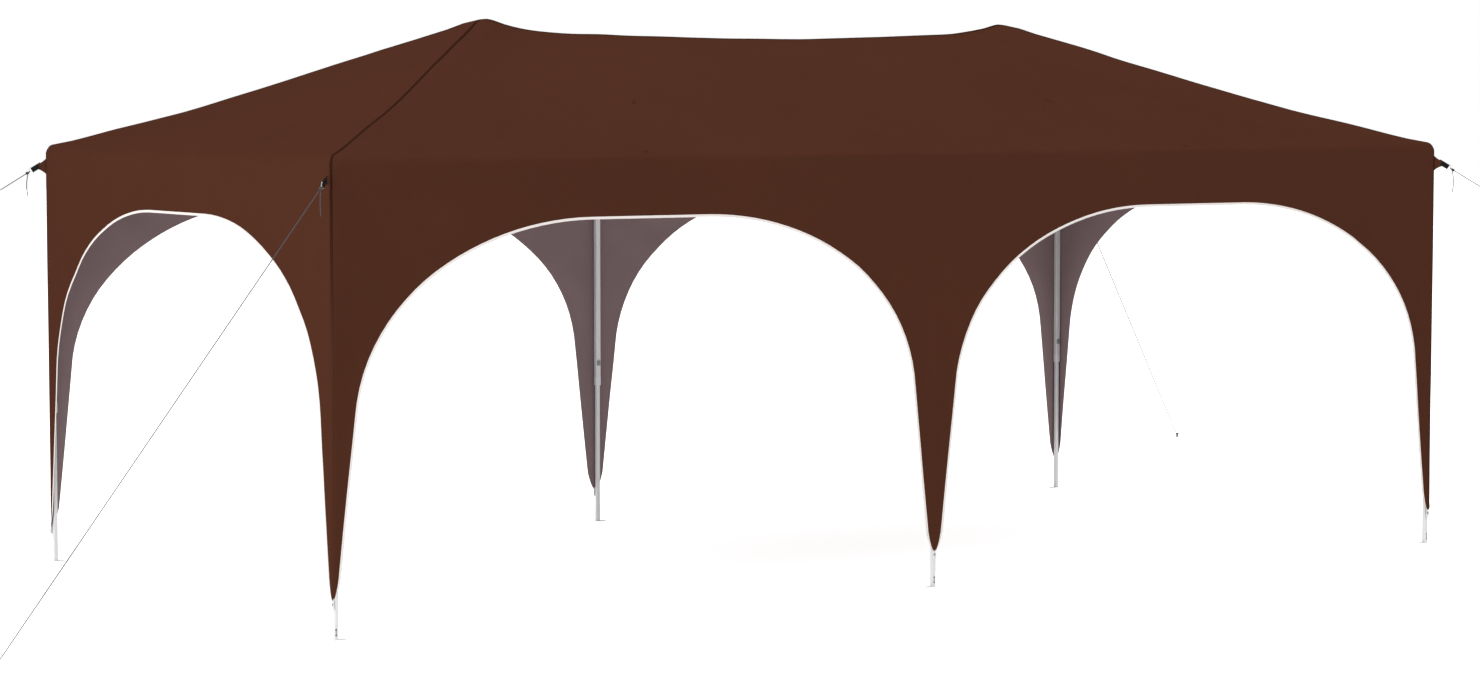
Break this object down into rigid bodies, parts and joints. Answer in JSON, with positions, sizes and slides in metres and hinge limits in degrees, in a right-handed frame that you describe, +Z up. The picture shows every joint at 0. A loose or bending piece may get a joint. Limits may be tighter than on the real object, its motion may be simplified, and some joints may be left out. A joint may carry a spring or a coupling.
{
  "type": "pop-up party tent",
  "caption": "Rectangular pop-up party tent with two peaks, arched fabric sides on square steel legs, scissor trusses under the roof and taut guy lines to stakes.",
  "frame": {"origin": "on the ground in the middle of the tent", "axes": "+X along the long side, +Y from the front side to the back, +Z up"},
  "size_m": [10.766, 6.77, 2.528],
  "materials": {
    "canopy_fabric": "matt coated polyester with a fine plain weave",
    "canopy_inside": "dull silver-grey coating on the underside of the cloth",
    "arch_binding": "matt off-white binding tape",
    "strap_webbing": "matt black webbing",
    "foot_strap": "white strap",
    "frame_steel": "pale grey powder coat",
    "fitting_plastic": "moulded nylon",
    "guy_rope": "braided grey cord",
    "stake_steel": "dark steel",
    "grommet_metal": "pressed metal ring"
  },
  "bodies": {
    "root": {"valance_front_left": "canopy_fabric", "valance_front_right": "canopy_fabric", "valance_right_end": "canopy_fabric", "valance_back_right": "canopy_fabric", "valance_back_left": "canopy_fabric", "valance_left_end": "canopy_fabric", "roof_front": "canopy_fabric", "roof_back": "canopy_fabric", "roof_left": "canopy_fabric", "roof_right": "canopy_fabric", "truss_front_left": "frame_steel", "truss_front_right": "frame_steel", "truss_back_left": "frame_steel", "truss_back_right": "frame_steel", "truss_left_end": "frame_steel", "truss_middle": "frame_steel", "truss_right_end": "frame_steel", "centre_truss_left": "frame_steel", "centre_truss_right": "frame_steel", "centre_pole_left": "frame_steel", "centre_pole_right": "frame_steel", "upper_leg_front_left": "frame_steel", "top_bracket_front_left": "fitting_plastic", "slider_front_left": "fitting_plastic", "upper_leg_front_middle": "frame_steel", "top_bracket_front_middle": "fitting_plastic", "slider_front_middle": "fitting_plastic", "upper_leg_front_right": "frame_steel", "top_bracket_front_right": "fitting_plastic", "slider_front_right": "fitting_plastic", "upper_leg_back_left": "frame_steel", "top_bracket_back_left": "fitting_plastic", "slider_back_left": "fitting_plastic", "upper_leg_back_middle": "frame_steel", "top_bracket_back_middle": "fitting_plastic", "slider_back_middle": "fitting_plastic", "upper_leg_back_right": "frame_steel", "top_bracket_back_right": "fitting_plastic", "slider_back_right": "fitting_plastic", "guy_line_front_left": "guy_rope", "guy_tail_front_left": "guy_rope", "stake_front_left": "stake_steel", "guy_line_front_right": "guy_rope", "guy_tail_front_right": "guy_rope", "stake_front_right": "stake_steel", "guy_line_back_left": "guy_rope", "guy_tail_back_left": "guy_rope", "stake_back_left": "stake_steel", "guy_line_back_right": "guy_rope", "guy_tail_back_right": "guy_rope", "stake_back_right": "stake_steel"},
    "leg_front_left": {"lower_leg_front_left": "frame_steel"},
    "leg_front_middle": {"lower_leg_front_middle": "frame_steel"},
    "leg_front_right": {"lower_leg_front_right": "frame_steel"},
    "leg_back_left": {"lower_leg_back_left": "frame_steel"},
    "leg_back_middle": {"lower_leg_back_middle": "frame_steel"},
    "leg_back_right": {"lower_leg_back_right": "frame_steel"}
  },
  "joints": [
    {"name": "leg_slide_front_left", "type": "slide", "parent": "root", "child": "leg_front_left", "axis": [0, 0, 1], "range_m": [0, 0.1]},
    {"name": "leg_slide_front_middle", "type": "slide", "parent": "root", "child": "leg_front_middle", "axis": [0, 0, 1], "range_m": [0, 0.1]},
    {"name": "leg_slide_front_right", "type": "slide", "parent": "root", "child": "leg_front_right", "axis": [0, 0, 1], "range_m": [0, 0.1]},
    {"name": "leg_slide_back_left", "type": "slide", "parent": "root", "child": "leg_back_left", "axis": [0, 0, 1], "range_m": [0, 0.1]},
    {"name": "leg_slide_back_middle", "type": "slide", "parent": "root", "child": "leg_back_middle", "axis": [0, 0, 1], "range_m": [0, 0.1]},
    {"name": "leg_slide_back_right", "type": "slide", "parent": "root", "child": "leg_back_right", "axis": [0, 0, 1], "range_m": [0, 0.1]}
  ]
}
